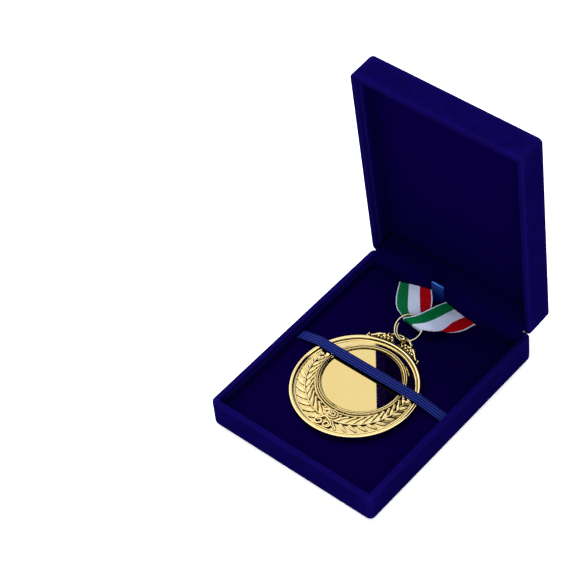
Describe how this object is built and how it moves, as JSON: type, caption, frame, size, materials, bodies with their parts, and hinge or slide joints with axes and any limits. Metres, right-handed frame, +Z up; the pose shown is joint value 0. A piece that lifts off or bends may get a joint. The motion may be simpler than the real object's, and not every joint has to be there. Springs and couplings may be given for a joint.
{
  "type": "medal presentation case",
  "caption": "Open hinged velvet case with a lift-out platform, holding a struck medal with a laurel wreath under an elastic strap, its ring and striped neck ribbon tucked in behind.",
  "frame": {"origin": "middle of the underside of the base", "axes": "+X across the case, +Y from the front edge to the hinge, +Z up"},
  "size_m": [0.1, 0.1419, 0.1441],
  "materials": {
    "tray": "moulded, matt",
    "case_velvet": "short-pile velvet, ultramarine",
    "paper": "matt paper card",
    "card": "grey board",
    "wadding": "soft foam pad",
    "hinge_steel": "bright pressed strip",
    "spring_steel": "tempered spring strip",
    "strap_elastic": "ribbed royal blue elastic",
    "medal_gold": "struck, pale gold plate, satin to bright",
    "plate_gold": "mirror polished, pale gold",
    "ribbon_moire": "green, white and red grosgrain",
    "tab_satin": "azure satin"
  },
  "bodies": {
    "base": {"base_shell": "tray", "base_cover": "case_velvet", "base_wall_lining": "case_velvet", "base_floor_liner": "paper", "foot_sheet": "paper", "hinge_base_leaf": "hinge_steel", "hinge_pin": "hinge_steel", "hinge_base_rivets": "hinge_steel", "hinge_lining": "case_velvet", "hinge_spring": "spring_steel", "ribbon_store": "ribbon_moire", "ribbon_drop": "ribbon_moire"},
    "lid": {"lid_shell": "tray", "lid_cover": "case_velvet", "lid_wall_lining": "case_velvet", "lid_pad": "wadding", "lid_panel": "case_velvet", "hinge_lid_leaf": "hinge_steel", "hinge_lid_rivets": "hinge_steel"},
    "insert": {"insert_board": "card", "insert_velvet": "case_velvet", "elastic_strap": "strap_elastic", "pull_tab_tail": "tab_satin"},
    "medal": {"medal_body": "medal_gold", "medal_plate": "plate_gold", "medal_hanger": "medal_gold", "ribbon_left": "ribbon_moire", "ribbon_right": "ribbon_moire"},
    "ring": {"jump_ring": "medal_gold", "ribbon_loop": "ribbon_moire"},
    "tab": {"pull_tab": "tab_satin"}
  },
  "joints": [
    {"name": "lid_hinge", "type": "hinge", "parent": "base", "child": "lid", "pos_m": [0, 0.06245, 0.01783], "axis": [-1, 0, 0], "range_deg": [-86.7, 0], "deforming": ["hinge_lining", "hinge_spring"]},
    {"name": "insert_lift", "type": "slide", "parent": "base", "child": "insert", "axis": [0, 0, 1], "range_m": [0, 0.045], "deforming": ["ribbon_drop"]},
    {"name": "medal_lift", "type": "slide", "parent": "insert", "child": "medal", "axis": [0, 0, 1], "range_m": [0, 0.04], "deforming": ["elastic_strap", "ribbon_left", "ribbon_right"]},
    {"name": "ring_swing", "type": "hinge", "parent": "medal", "child": "ring", "pos_m": [-0.0015, 0.0256, 0.0137], "axis": [1, 0, 0], "range_deg": [0, 45]},
    {"name": "tab_fold", "type": "hinge", "parent": "insert", "child": "tab", "pos_m": [-0.003, 0.056, 0.0116], "axis": [1, 0, 0], "range_deg": [0, 25]}
  ]
}
